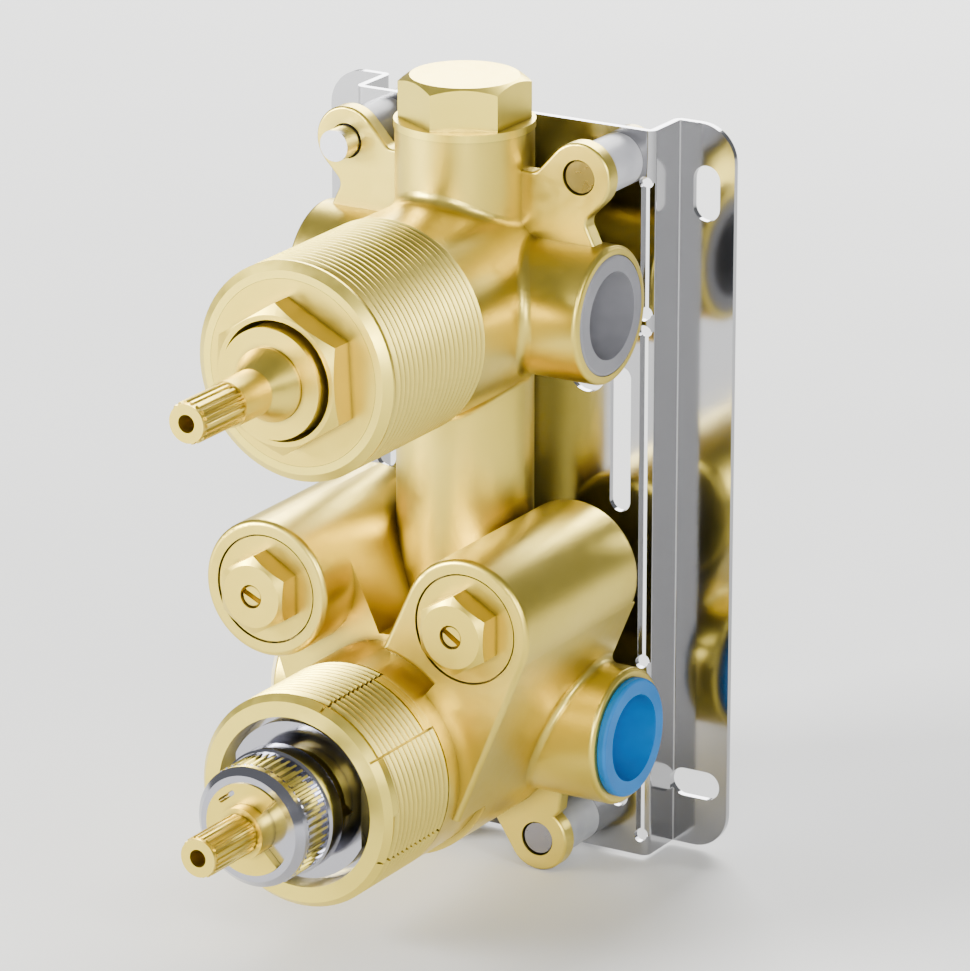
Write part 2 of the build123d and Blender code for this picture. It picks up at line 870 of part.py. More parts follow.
# Brass body of the flow cartridge: a cup for the discs with a collar through the gland nut
flow_body_front = gland_rear - seat_gap
flow_body_rear = flow_bore_rear + seat_gap
journal_hole = flow_journal_radius + running_clearance
with BuildPart() as flow_cartridge_body:
    revolve(
        turned_section(
            [
                (flow_body_rear, flow_chamber_radius),
                (flow_body_rear, flow_body_radius),
                (flow_body_front, flow_body_radius),
                (flow_body_front, flow_collar_radius),
                (flow_collar_front, flow_collar_radius),
                (flow_collar_front, journal_hole),
                (flow_journal_rear, journal_hole),
                (flow_journal_rear, flow_chamber_radius),
            ],
            z=upper_z,
        ),
        axis=upper_axis,
    )
save(flow_cartridge_body.part, "flow_cartridge_body")

# Flow spindle: driver plate, journal, cone, shaft and coarse splines with a screw hole
disc_radius = flow_chamber_radius - running_clearance
with BuildPart() as flow_spindle:
    revolve(
        turned_section(
            [
                (flow_driver_rear, 0),
                (flow_driver_rear, disc_radius),
                (flow_journal_rear - running_clearance, disc_radius),
                (flow_journal_rear - running_clearance, flow_journal_radius),
                (flow_collar_front + flow_journal_land, flow_journal_radius),
                (flow_cone_front, flow_shaft_radius),
                (flow_spline_rear, flow_shaft_radius),
                (flow_spline_rear, 0),
            ],
            z=upper_z,
        ),
        axis=upper_axis,
    )
    with BuildSketch(Plane.XZ.offset(flow_spline_rear)):
        with Locations((0, upper_z)):
            Circle(flow_spline_radius - flow_spline_depth)
    extrude(amount=flow_tip - flow_spline_rear)
    with BuildSketch(Plane(origin=(0, -flow_spline_rear, upper_z), x_dir=(1, 0, 0), z_dir=(0, -1, 0))):
        with BuildLine():
            Polyline(*toothed_outline(flow_spline_radius, flow_spline_depth, flow_spline_count), close=True)
        make_face()
    extrude(amount=flow_tip - flow_spline_rear - spline_end_land)
    with BuildSketch(Plane.XZ.offset(flow_tip)):
        with Locations((0, upper_z)):
            Circle(spindle_screw_radius)
    extrude(amount=-spindle_screw_depth, mode=Mode.SUBTRACT)
save(flow_spindle.part, "flow_spindle")

# Ceramic discs of the flow cartridge, each with two waterways, and the rubber seat behind them
moving_disc_rear = flow_driver_rear - moving_disc_thickness
fixed_disc_front = moving_disc_rear - seat_gap
fixed_disc_rear = fixed_disc_front - fixed_disc_thickness


def flow_disc(rear, front, radius, name):
    """A flat disc on the upper axis with two round waterways."""
    with BuildPart() as disc:
        with BuildSketch(Plane.XZ.offset(rear)):
            with Locations((0, upper_z)):
                Circle(radius)
                with PolarLocations(disc_way_place, 2):
                    Circle(disc_way_radius, mode=Mode.SUBTRACT)
        extrude(amount=front - rear)
    save(disc.part, name)


flow_disc(moving_disc_rear, flow_driver_rear, disc_radius, "flow_moving_disc")
flow_disc(fixed_disc_rear, fixed_disc_front, disc_radius, "flow_fixed_disc")
flow_disc(flow_bore_rear + seat_gap, fixed_disc_rear - seat_gap, disc_radius, "flow_seat_seal")

# Ring nut of the temperature cartridge: threaded part, head with two flats, keyed opening
with BuildPart() as temperature_retaining_nut:
    with BuildSketch(Plane.XZ.offset(nut_rear)):
        with Locations((0, lower_z)):
            Circle(nut_bore_radius - thread_clearance)
    extrude(amount=nut_thread_front - nut_rear)
    with BuildSketch(Plane.XZ.offset(nut_thread_front)):
        with Locations((0, lower_z)):
            Circle(nut_head_radius)
            Rectangle(2 * nut_head_half_width, 2 * nut_bore_radius, mode=Mode.INTERSECT)
    extrude(amount=nut_front - nut_thread_front)
    with BuildSketch(Plane.XZ.offset(nut_rear)):
        with Locations((0, lower_z)):
            Circle(nut_hole_radius)
        with BuildLine():
            Polyline(
                (nut_corner_radius, lower_z),
                (0, lower_z + cartridge_neck_radius),
                (-nut_corner_radius, lower_z),
                (0, lower_z - cartridge_neck_radius),
                close=True,
            )
        make_face()
    extrude(amount=nut_front - nut_rear, mode=Mode.SUBTRACT)
save(temperature_retaining_nut.part, "temperature_retaining_nut")

# Temperature cartridge: barrel with ring grooves, neck, and a bore for the regulator
cartridge_radius = cartridge_bore_radius - thread_clearance
cartridge_shoulder = nut_rear - seat_gap
drive_bore = drive_nut_radius + running_clearance
shuttle_bore = shuttle_radius + running_clearance
shaft_hole = temperature_shaft_radius + running_clearance
collar_seat = drive_screw_front + drive_collar_length + running_clearance
cartridge_floor = cartridge_rear + seat_gap
groove_floor = cartridge_radius - ring_seal_depth
with BuildPart() as temperature_cartridge_body:
    revolve(
        turned_section(
            [
                (cartridge_floor, cartridge_outlet_radius),
                (cartridge_floor, cartridge_radius),
                (cartridge_shoulder, cartridge_radius),
                (cartridge_shoulder, cartridge_neck_radius),
                (cartridge_neck_front, cartridge_neck_radius),
                (cartridge_neck_front, shaft_hole),
                (collar_seat, shaft_hole),
                (collar_seat, drive_bore),
                (drive_nut_rear - regulator_travel - 1.0, drive_bore),
                (drive_nut_rear - regulator_travel - 1.0, shuttle_bore),
                (cartridge_floor + cartridge_end_wall, shuttle_bore),
                (cartridge_floor + cartridge_end_wall, cartridge_outlet_radius),
            ],
            z=lower_z,
        ),
        axis=lower_axis,
    )
    for groove_rear in ring_seal_places:
        revolve(
            turned_section(
                [
                    (groove_rear, groove_floor),
                    (groove_rear, cartridge_radius + 1),
                    (groove_rear + ring_seal_width, cartridge_radius + 1),
                    (groove_rear + ring_seal_width, groove_floor),
                ],
                z=lower_z,
            ),
            axis=lower_axis,
            mode=Mode.SUBTRACT,
        )
save(temperature_cartridge_body.part, "temperature_cartridge_body")

with BuildPart() as temperature_cartridge_seals:
    for groove_rear in ring_seal_places:
        with BuildSketch(Plane.XZ.offset(groove_rear + seat_gap)):
            with Locations((0, lower_z)):
                Circle(cartridge_radius)
                Circle(groove_floor + seat_gap, mode=Mode.SUBTRACT)
        extrude(amount=ring_seal_width - 2 * seat_gap)
save(temperature_cartridge_seals.part, "temperature_cartridge_seals")

# Three rings on the neck of the cartridge
ring_hole = cartridge_neck_radius + seat_gap
with BuildPart() as temperature_rear_ring:
    with BuildSketch(Plane.XZ.offset(rear_ring_rear)):
        with Locations((0, lower_z)):
            Circle(rear_ring_radius)
            Circle(ring_hole, mode=Mode.SUBTRACT)
    extrude(amount=rear_ring_front - rear_ring_rear)
    rear_ring_rims = edges().filter_by(GeomType.CIRCLE).group_by(SortBy.RADIUS)[-1]
    chamfer(rear_ring_rims, ring_edge_bevel)
save(temperature_rear_ring.part, "temperature_rear_ring")

with BuildPart() as temperature_knurled_ring:
    with BuildSketch(Plane(origin=(0, -rear_ring_front, lower_z), x_dir=(1, 0, 0), z_dir=(0, -1, 0))):
        with BuildLine():
            Polyline(*toothed_outline(knurl_radius, knurl_depth, knurl_count), close=True)
        make_face()
        Circle(ring_hole, mode=Mode.SUBTRACT)
    extrude(amount=knurl_front - rear_ring_front)
save(temperature_knurled_ring.part, "temperature_knurled_ring")

disc_rear = stop_disc_front - stop_disc_thickness
disc_pocket = stop_disc_radius + seat_gap
clip_hole = clip_radius + running_clearance
with BuildPart() as temperature_front_ring:
    revolve(
        turned_section(
            [
                (knurl_front, clip_hole),
                (knurl_front, front_ring_radius),
                (front_ring_front - front_ring_chamfer, front_ring_radius),
                (front_ring_front, front_ring_radius - front_ring_chamfer),
                (front_ring_front, disc_pocket),
                (disc_rear - seat_gap, disc_pocket),
                (disc_rear - seat_gap, clip_hole),
            ],
            z=lower_z,
        ),
        axis=lower_axis,
    )
save(temperature_front_ring.part, "temperature_front_ring")

# Notched disc inside the front ring
with BuildPart() as temperature_stop_disc:
    with BuildSketch(Plane(origin=(0, -disc_rear, lower_z), x_dir=(1, 0, 0), z_dir=(0, -1, 0))):
        Circle(stop_disc_radius)
        Circle(clip_hole, mode=Mode.SUBTRACT)
        low_turn, high_turn = (radians(turn) for turn in stop_disc_notch_turns)
        notch_reach = 2 * stop_disc_radius
        with BuildLine():
            Polyline(
                (clip_radius * cos(low_turn), clip_radius * sin(low_turn)),
                (notch_reach * cos(low_turn), notch_reach * sin(low_turn)),
                (notch_reach * cos(high_turn), notch_reach * sin(high_turn)),
                (clip_radius * cos(high_turn), clip_radius * sin(high_turn)),
                close=True,
            )
        make_face(mode=Mode.SUBTRACT)
        with PolarLocations(stop_disc_slot_place, 1, start_angle=stop_disc_slot_turn):
            SlotOverall(stop_disc_slot_length, stop_disc_slot_width, rotation=90, mode=Mode.SUBTRACT)
    extrude(amount=stop_disc_thickness)
save(temperature_stop_disc.part, "temperature_stop_disc")

# Collar that turns with the temperature spindle
with BuildPart() as temperature_spindle_clip:
    with BuildSketch(Plane.XZ.offset(cartridge_neck_front + seat_gap)):
        with Locations((0, lower_z)):
            Circle(clip_radius)
            Circle(temperature_shaft_radius + seat_gap, mode=Mode.SUBTRACT)
    extrude(amount=clip_front - cartridge_neck_front - seat_gap)
save(temperature_spindle_clip.part, "temperature_spindle_clip")

# Temperature spindle: drive screw, collar, shaft and fine splines with a screw hole
temperature_spline_rear = clip_front + temperature_shaft_land
with BuildPart() as temperature_spindle:
    revolve(
        turned_section(
            [
                (drive_screw_rear, 0),
                (drive_screw_rear, drive_screw_radius),
                (drive_screw_front, drive_screw_radius),
                (drive_screw_front, drive_nut_radius - 1.0),
                (drive_screw_front + drive_collar_length, drive_nut_radius - 1.0),
                (drive_screw_front + drive_collar_length, temperature_shaft_radius),
                (temperature_spline_rear, temperature_shaft_radius),
                (temperature_spline_rear, 0),
            ],
            z=lower_z,
        ),
        axis=lower_axis,
    )
    with BuildSketch(Plane.XZ.offset(clip_front)):
        with Locations((0, lower_z)):
            Circle(temperature_spline_radius - temperature_spline_depth)
    extrude(amount=temperature_tip - clip_front)
    spline_plane = Plane(origin=(0, 0, lower_z), x_dir=(1, 0, 0), z_dir=(0, -1, 0))
    with BuildSketch(spline_plane.offset(temperature_spline_rear)):
        with BuildLine():
            Polyline(
                *toothed_outline(
                    temperature_spline_radius, temperature_spline_depth, temperature_spline_count
                ),
                close=True,
            )
        make_face()
    extrude(amount=temperature_tip - temperature_spline_rear - spline_end_land)
    with BuildSketch(Plane.XZ.offset(temperature_tip)):
        with Locations((0, lower_z)):
            Circle(spindle_screw_radius)
    extrude(amount=-spindle_screw_depth, mode=Mode.SUBTRACT)
save(temperature_spindle.part, "temperature_spindle")

# Nut that the drive screw moves along, closed at the back where it pushes on the wax element
with BuildPart() as temperature_drive_nut:
    revolve(
        turned_section(
            [
                (drive_nut_rear, 0),
                (drive_nut_rear, drive_nut_radius),
                (drive_nut_front, drive_nut_radius),
                (drive_nut_front, drive_screw_radius + running_clearance),
                (drive_nut_rear + drive_nut_floor, drive_screw_radius + running_clearance),
                (drive_nut_rear + drive_nut_floor, 0),
            ],
            z=lower_z,
        ),
        axis=lower_axis,
    )
save(temperature_drive_nut.part, "temperature_drive_nut")

# Wax element: cap against the drive nut, body that carries the shuttle, stem in the spring
with BuildPart() as wax_element:
    revolve(
        turned_section(
            [
                (wax_stem_rear, 0),
                (wax_stem_rear, wax_stem_radius),
                (wax_body_rear, wax_stem_radius),
                (wax_body_rear, wax_body_radius),
                (wax_body_front, wax_body_radius),
                (wax_body_front, wax_cap_radius),
                (drive_nut_rear - seat_gap, wax_cap_radius),
                (drive_nut_rear - seat_gap, 0),
            ],
            z=lower_z,
        ),
        axis=lower_axis,
    )
save(wax_element.part, "wax_element")

with BuildPart() as shuttle:
    with BuildSketch(Plane.XZ.offset(shuttle_rear)):
        with Locations((0, lower_z)):
            Circle(shuttle_radius)
            Circle(wax_body_radius + seat_gap, mode=Mode.SUBTRACT)
    extrude(amount=shuttle_front - shuttle_rear)
save(shuttle.part, "shuttle")

# Return spring behind the shuttle
spring_front_centre = shuttle_rear - seat_gap - spring_wire_radius
spring_rear_centre = cartridge_floor + cartridge_end_wall + regulator_travel + seat_gap + spring_wire_radius
with BuildPart() as return_spring:
    with BuildLine() as coil:
        Helix(
            pitch=(spring_front_centre - spring_rear_centre) / spring_turns,
            height=spring_front_centre - spring_rear_centre,
            radius=spring_radius,
            center=(0, -spring_rear_centre, lower_z),
            direction=(0, -1, 0),
        )
    with BuildSketch(Plane(origin=coil.line @ 0, z_dir=coil.line % 0)):
        RegularPolygon(spring_wire_radius, 8)
    sweep(is_frenet=True)
save(return_spring.part, "return_spring")

# The two service stops: insert, slotted spindle, gland ring and sliding closer
insert_corner = insert_hex_af / 2 / cos(pi / 6)
for name, side in sides.items():
    stop_plane = Plane(origin=(side * stop_x, 0, stop_z), x_dir=(1, 0, 0), z_dir=(0, -1, 0))
    stop_axis = front_axis(side * stop_x, stop_z)
    with BuildPart() as stop_insert:
        with BuildSketch(stop_plane.offset(insert_rear + seat_gap)):
            Circle(insert_radius)
        extrude(amount=insert_front - insert_rear - seat_gap)
        with BuildSketch(stop_plane.offset(insert_front)):
            RegularPolygon(insert_hex_af / 2, 6, major_radius=False, rotation=30)
        extrude(amount=insert_hex_front - insert_front)
        revolve(
            turned_section(
                [
                    (insert_hex_front, insert_chamfer_radius),
                    (insert_hex_front, insert_corner + 1),
                    (insert_hex_front - insert_chamfer_length, insert_corner + 1),
                    (insert_hex_front - insert_chamfer_length, insert_corner),
                ],
                x=side * stop_x,
                z=stop_z,
            ),
            axis=stop_axis,
            mode=Mode.SUBTRACT,
        )
        revolve(
            turned_section(
                [
                    (insert_rear, 0),
                    (insert_rear, insert_cavity_radius),
                    (insert_cavity_front, insert_cavity_radius),
                    (insert_cavity_front, shank_hole),
                    (insert_hex_front, shank_hole),
                    (insert_hex_front, 0),
                ],
                x=side * stop_x,
                z=stop_z,
            ),
            axis=stop_axis,
            mode=Mode.SUBTRACT,
        )
    save(stop_insert.part, f"stop_insert_{name}")

    with BuildPart() as stop_spindle:
        revolve(
            turned_section(
                [
                    (stop_screw_rear, 0),
                    (stop_screw_rear, stop_screw_radius),
                    (collar_rear, stop_screw_radius),
                    (collar_rear, stop_collar_radius),
                    (collar_front, stop_collar_radius),
                    (collar_front, stop_shank_radius),
                    (stop_shank_front - stop_shank_bevel, stop_shank_radius),
                    (stop_shank_front, stop_shank_radius - stop_shank_bevel),
                    (stop_shank_front, 0),
                ],
                x=side * stop_x,
                z=stop_z,
            ),
            axis=stop_axis,
        )
        with BuildSketch(stop_plane.offset(stop_shank_front)):
            Rectangle(3 * stop_shank_radius, stop_slot_width, rotation=stop_slot_turns[name])
        extrude(amount=-stop_slot_depth, mode=Mode.SUBTRACT)
    save(stop_spindle.part, f"stop_spindle_{name}")

    with BuildPart() as stop_gland_ring:
        with BuildSketch(stop_plane.offset(gland_ring_front)):
            Circle(insert_cavity_radius - seat_gap)
            Circle(stop_screw_radius + running_clearance, mode=Mode.SUBTRACT)
        extrude(amount=-gland_ring_length)
    save(stop_gland_ring.part, f"stop_gland_ring_{name}")

    with BuildPart() as stop_closer:
        with BuildSketch(stop_plane.offset(closer_rear)):
            Circle(closer_radius)
        extrude(amount=closer_length)
        with BuildSketch(stop_plane.offset(closer_front)):
            Circle(stop_screw_radius + running_clearance)
        extrude(amount=-closer_length + closer_floor, mode=Mode.SUBTRACT)
    save(stop_closer.part, f"stop_closer_{name}")

# Plastic plugs: a flange, a body in the port's thread and an open recess
for row, port_z, port_end, proud in (
    ("upper", upper_z, upper_port_end, plug_upper_proud),
    ("lower", lower_z, lower_port_end, plug_flange_thickness + seat_gap),
):
    for name, side in sides.items():
        plug_face = port_end + proud
        flange_seat = plug_face - plug_flange_thickness
        with BuildPart() as port_plug:
            with BuildSketch(Plane.YZ.offset(side * plug_face)):
                with Locations((-pipe_reach, port_z)):
                    Circle(plug_flange_radius)
            extrude(amount=-side * plug_flange_thickness)
            rim = edges().filter_by_position(Axis.X, side * plug_face, side * plug_face)
            fillet(rim, plug_edge_round)
            with BuildSketch(Plane.YZ.offset(side * flange_seat)):
                with Locations((-pipe_reach, port_z)):
                    Circle(pipe_thread_radius)
            extrude(amount=-side * plug_shank_length)
            with BuildSketch(Plane.YZ.offset(side * plug_face)):
                with Locations((-pipe_reach, port_z)):
                    Circle(plug_recess_radius)
            extrude(amount=-side * plug_recess_depth, mode=Mode.SUBTRACT)
        save(port_plug.part, f"port_plug_{row}_{name}")

# Bracket plate: a bent channel with wings, wall slots, fold slots and panel openings
panel_rear = panel_front - sheet
with BuildPart() as bracket_plate:
    with BuildSketch(Plane.XY.offset(bracket_bottom)) as bent_sheet:
        with BuildLine():
            Polyline(
                (-wing_end_x, 0),
                (-wing_end_x, -sheet),
                (-web_outer_x, -sheet),
                (-web_outer_x, -panel_front),
                (web_outer_x, -panel_front),
                (web_outer_x, -sheet),
                (wing_end_x, -sheet),
                (wing_end_x, 0),
                (web_outer_x - sheet, 0),
                (web_outer_x - sheet, -panel_rear),
                (sheet - web_outer_x, -panel_rear),
                (sheet - web_outer_x, 0),
                close=True,
            )
        make_face()
        for side in sides.values():
            outer = [(side * web_outer_x, -panel_front, 0), (side * (web_outer_x - sheet), 0, 0)]
            inner = [(side * web_outer_x, -sheet, 0), (side * (web_outer_x - sheet), -panel_rear, 0)]
            for corners, corner_radius in ((outer, bend_radius), (inner, bend_radius - sheet)):
                chosen = [bent_sheet.vertices().sort_by_distance(corner)[0] for corner in corners]
                fillet(chosen, corner_radius)
    extrude(amount=bracket_top - bracket_bottom)

    # Rounded outer corners of the wings
    for side in sides.values():
        for level in (bracket_bottom, bracket_top):
            corner = bracket_plate.edges().filter_by(Axis.Y).sort_by_distance(
                (side * wing_end_x, -sheet / 2, level)
            )[0]
            fillet(corner, wing_corner_radius)

    # Wall slots in the wings
    for side in sides.values():
        with BuildSketch(Plane.XZ.offset(-sheet)):
            with Locations((side * upper_slot_x, upper_slot_z)):
                SlotOverall(upper_slot_length, wall_slot_width, rotation=90)
            with Locations((side * lower_slot_x, 0)):
                SlotOverall(lower_slot_length, wall_slot_width)
        extrude(amount=3 * sheet, mode=Mode.SUBTRACT)

        # Slots along the fold, which leave three short bridges
        for low, high in fold_slot_runs:
            with BuildSketch(Plane.XZ.offset(fold_slot_back)):
                with Locations((side * web_outer_x, lower_z + (low + high) / 2)):
                    Rectangle(4 * sheet, high - low)
            extrude(amount=2 * sheet, mode=Mode.SUBTRACT)
            slot_width = web_outer_x - sheet - fold_slot_inner_x
            with BuildSketch(Plane.XZ.offset(panel_rear - sheet)):
                slot_middle = side * (fold_slot_inner_x + slot_width / 2)
                with Locations((slot_middle, lower_z + (low + high) / 2)):
                    Rectangle(slot_width, high - low)
                with Locations((slot_middle, lower_z + low), (slot_middle, lower_z + high)):
                    Circle(fold_slot_end_radius)
            extrude(amount=3 * sheet, mode=Mode.SUBTRACT)

        # Openings in the panel
        with BuildSketch(Plane.XZ.offset(panel_rear - sheet)):
            for low, high in (panel_slot_run, panel_low_slot_run):
                with Locations((side * panel_slot_x, lower_z + (low + high) / 2)):
                    SlotOverall(high - low, panel_slot_width, rotation=90)
            with Locations((side * panel_hole_x, panel_hole_z)):
                Circle(panel_hole_radius)
            with Locations((side * upper_lug_x, upper_lug_z), (side * lower_lug_x, lower_lug_z)):
                Circle(screw_hole_radius)
        extrude(amount=3 * sheet, mode=Mode.SUBTRACT)
save(bracket_plate.part, "bracket_plate")

# Four screws from behind the panel, each through a spacer into its lug
places = {
    "upper_left": (-upper_lug_x, upper_lug_z, lug_front + screw_proud),
    "upper_right": (upper_lug_x, upper_lug_z, lug_front - screw_recess),
    "lower_left": (-lower_lug_x, lower_lug_z, lug_front - screw_recess),
    "lower_right": (lower_lug_x, lower_lug_z, lug_front - screw_recess),
}
head_seat = panel_rear - seat_gap
head_back = head_seat - screw_head_height
for name, (x, z, tip) in places.items():
    screw_plane = Plane(origin=(x, 0, z), x_dir=(1, 0, 0), z_dir=(0, -1, 0))
    with BuildPart() as mounting_screw:
        with BuildSketch(screw_plane.offset(head_back)):
            Circle(screw_head_radius)
        extrude(amount=screw_head_height)
        with BuildSketch(screw_plane.offset(head_seat)):
            Circle(screw_radius)
        extrude(amount=tip - head_seat)
        with BuildSketch(screw_plane.offset(head_back)):
            RegularPolygon(screw_socket_af / 2, 6, major_radius=False)
        extrude(amount=screw_socket_depth, mode=Mode.SUBTRACT)
    save(mounting_screw.part, f"mounting_screw_{name}")

    with BuildPart() as spacer:
        with BuildSketch(screw_plane.offset(panel_front + seat_gap)):
            Circle(spacer_radius)
            Circle(spacer_hole_radius, mode=Mode.SUBTRACT)
        extrude(amount=lug_rear - panel_front - 2 * seat_gap)
    save(spacer.part, f"spacer_{name}")
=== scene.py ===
import bpy
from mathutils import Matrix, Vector


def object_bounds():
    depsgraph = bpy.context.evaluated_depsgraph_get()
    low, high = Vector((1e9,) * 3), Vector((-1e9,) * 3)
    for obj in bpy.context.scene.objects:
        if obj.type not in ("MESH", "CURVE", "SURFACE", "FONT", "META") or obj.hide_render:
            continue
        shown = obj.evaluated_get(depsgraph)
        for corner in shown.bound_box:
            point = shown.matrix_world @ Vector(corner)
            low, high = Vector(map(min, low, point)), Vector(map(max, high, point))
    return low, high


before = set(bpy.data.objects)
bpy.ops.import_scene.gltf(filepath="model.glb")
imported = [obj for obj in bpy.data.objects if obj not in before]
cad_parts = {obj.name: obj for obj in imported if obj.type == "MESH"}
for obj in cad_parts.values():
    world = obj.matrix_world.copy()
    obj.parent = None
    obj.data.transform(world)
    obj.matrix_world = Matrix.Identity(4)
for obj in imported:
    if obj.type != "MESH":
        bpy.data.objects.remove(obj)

cad_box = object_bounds()
mm = 0.001

# Bracket plate. One sheet of austenitic stainless steel, 1.2 mm thick, laser cut, folded and
# polished. It mirrors the casting softly and keeps faint rolling lines along its height. The
# return spring inside the cartridge is of the same steel.


def linear(code):
    """The linear colour of an sRGB hex value."""
    channels = [int(code[at:at + 2], 16) / 255 for at in (0, 2, 4)]
    return [*(c / 12.92 if c <= 0.04045 else ((c + 0.055) / 1.055) ** 2.4 for c in channels), 1.0]


def add(tree, kind, inputs=None, **settings):
    """A node with its settings, and a value or a link for each named input."""
    node = tree.nodes.new(kind)
    for name, value in settings.items():
        setattr(node, name, value)
    for name, value in (inputs or {}).items():
        if isinstance(value, bpy.types.NodeSocket):
            tree.links.new(value, node.inputs[name])
        else:
            node.inputs[name].default_value = value
    return node


def start_material(name):
    """An empty node material, with places on the object in millimetres."""
    made = bpy.data.materials.new(name)
    made.use_nodes = True
    tree = made.node_tree
    tree.nodes.clear()
    place = add(tree, "ShaderNodeTexCoord")
    millimetres = add(
        tree, "ShaderNodeVectorMath", {0: place.outputs["Object"], 1: (1 / mm, 1 / mm, 1 / mm)},
        operation="MULTIPLY",
    )
    return made, tree, millimetres.outputs["Vector"]


def finish_material(tree, shader):
    """Joins a shader to the surface."""
    add(tree, "ShaderNodeOutputMaterial", {"Surface": shader.outputs["BSDF"]})


def speckle(tree, place, size, low, high, detail=2.0):
    """Noise of a real size in millimetres, spread between two values."""
    noise = add(tree, "ShaderNodeTexNoise", {"Vector": place, "Scale": 1 / size, "Detail": detail})
    spread = add(
        tree, "ShaderNodeMapRange",
        {"Value": noise.outputs["Fac"], "From Min": 0.3, "From Max": 0.7, "To Min": low,
         "To Max": high},
    )
    return spread.outputs["Result"]


def dress(material, *nodes):
    """Gives CAD nodes or pieces one material."""
    for node in nodes:
        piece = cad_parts[node] if isinstance(node, str) else node
        piece.data.materials.clear()
        piece.data.materials.append(material)


# The rolling lines of real sheet are some 0.05 mm apart. They are drawn at 0.25 mm, the finest
# that shows, and only tilt the reflections a little. The polish varies over about 14 mm.
rolling_pitch = 0.25
rolling_length = 50.0
rolling_depth = 0.02
polish_patch = 14.0
stainless, tree, place = start_material("polished_stainless_sheet")
lines = add(
    tree, "ShaderNodeMapping",
    {"Vector": place, "Scale": (1 / rolling_pitch, 1 / rolling_pitch, 1 / rolling_length)},
)
grain = add(
    tree, "ShaderNodeBump",
    {"Height": speckle(tree, lines.outputs["Vector"], 1.0, 0.0, 1.0), "Strength": 0.04,
     "Distance": rolling_depth * mm},
)
finish_material(tree, add(
    tree, "ShaderNodeBsdfPrincipled",
    {
        "Base Color": linear("A6A6A8"),
        "Metallic": 1.0,
        "Roughness": speckle(tree, place, polish_patch, 0.1, 0.15, 3.0),
        "Normal": grain.outputs["Normal"],
    },
))
dress(stainless, "bracket_plate", "return_spring")

# Casting. Sand cast dezincification-resistant brass, grit blasted all over, so it is satin,
# golden and very finely pitted. The barrel ends are machined, paler and a little yellower.
barrel_radius = 20.2
lower_height = 16.7
upper_height = lower_height + 80.0
thread_rear = 50.0
lower_thread_rear = 63.0
colour_patch = 26.0
sheen_patch = 2.0
sheen_spread = 0.03
# Painted shade for creases, recesses and gaps between parts: how far it reaches in mm, its grey
# brown and its sample count.
painted_shade_reach = 2.5
painted_shade_brown = "7E7252"
painted_shade_samples = 16


def on_barrel(tree, place, height, rear):
    """One on the machined end of a barrel, none elsewhere."""
    axes = add(tree, "ShaderNodeSeparateXYZ", {0: place})
    level = add(tree, "ShaderNodeCombineXYZ", {"X": axes.outputs["X"], "Z": axes.outputs["Z"]})
    away = add(
        tree, "ShaderNodeVectorMath", {0: level.outputs[0], 1: (0, 0, height)},
        operation="DISTANCE",
    )
    inside = add(
        tree, "ShaderNodeMath", {0: away.outputs["Value"], 1: barrel_radius},
        operation="LESS_THAN",
    )
    ahead = add(tree, "ShaderNodeMath", {0: axes.outputs["Y"], 1: -rear}, operation="LESS_THAN")
    return add(
        tree, "ShaderNodeMath", {0: inside.outputs[0], 1: ahead.outputs[0]}, operation="MULTIPLY"
    ).outputs[0]


def brass(name, light, dark, roughness, grit_size, grit_depth, machined=None, reach=painted_shade_reach):
    """Blasted or turned brass: patchy colour, painted shade in hollows, and pits of the grit's
    size.
    """
    made, tree, place = start_material(name)
    patches = speckle(tree, place, colour_patch, 0.0, 1.0, 3.0)
    colour = add(
        tree, "ShaderNodeMix", {0: patches, 6: linear(light), 7: linear(dark)}, data_type="RGBA"
    ).outputs[2]
    if machined:
        worked = add(
            tree, "ShaderNodeMath",
            {0: on_barrel(tree, place, upper_height, thread_rear),
             1: on_barrel(tree, place, lower_height, lower_thread_rear)},
            operation="MAXIMUM",
        )
        colour = add(
            tree, "ShaderNodeMix", {0: worked.outputs[0], 6: colour, 7: linear(machined)},
            data_type="RGBA",
        ).outputs[2]
    # Painted shade: the colour turns grey brown where ambient occlusion finds other surfaces close
    # by.
    painted_shade_ao = add(
        tree, "ShaderNodeAmbientOcclusion", {"Distance": reach * mm}, samples=painted_shade_samples
    )
    colour = add(
        tree, "ShaderNodeMix",
        {0: painted_shade_ao.outputs["AO"], 6: linear(painted_shade_brown), 7: colour},
        data_type="RGBA",
    ).outputs[2]
    grit = add(
        tree, "ShaderNodeTexNoise", {"Vector": place, "Scale": 1 / grit_size, "Detail": 2.0}
    )
    pits = add(
        tree, "ShaderNodeBump",
        {"Height": grit.outputs["Fac"], "Strength": 0.5, "Distance": grit_depth * mm},
    )
    finish_material(tree, add(
        tree, "ShaderNodeBsdfPrincipled",
        {
            "Base Color": colour,
            "Metallic": 1.0,
            "Roughness": speckle(
                tree, place, sheen_patch, roughness - sheen_spread, roughness + sheen_spread
            ),
            "Normal": pits.outputs["Normal"],
        },
    ))
    return made


# Blasting grit leaves pits of 0.1 to 0.2 mm, which spread every highlight.
blasted_brass = brass(
    "blasted_cast_brass", "E6CF60", "D9C14E", 0.35, grit_size=0.22, grit_depth=0.025,
    machined="EAD45E",
)
dress(blasted_brass, "valve_body")

# Blanking cap. Hexagonal brass bar, turned and threaded, paler and smoother than the casting,
# screwed down on a flat black seal. Its flats shine a little more evenly.
cap_brass = brass(
    "turned_pale_brass", "F4DE62", "ECD454", 0.34, grit_size=0.3, grit_depth=0.01, reach=1.0
)
dress(cap_brass, "top_cap")

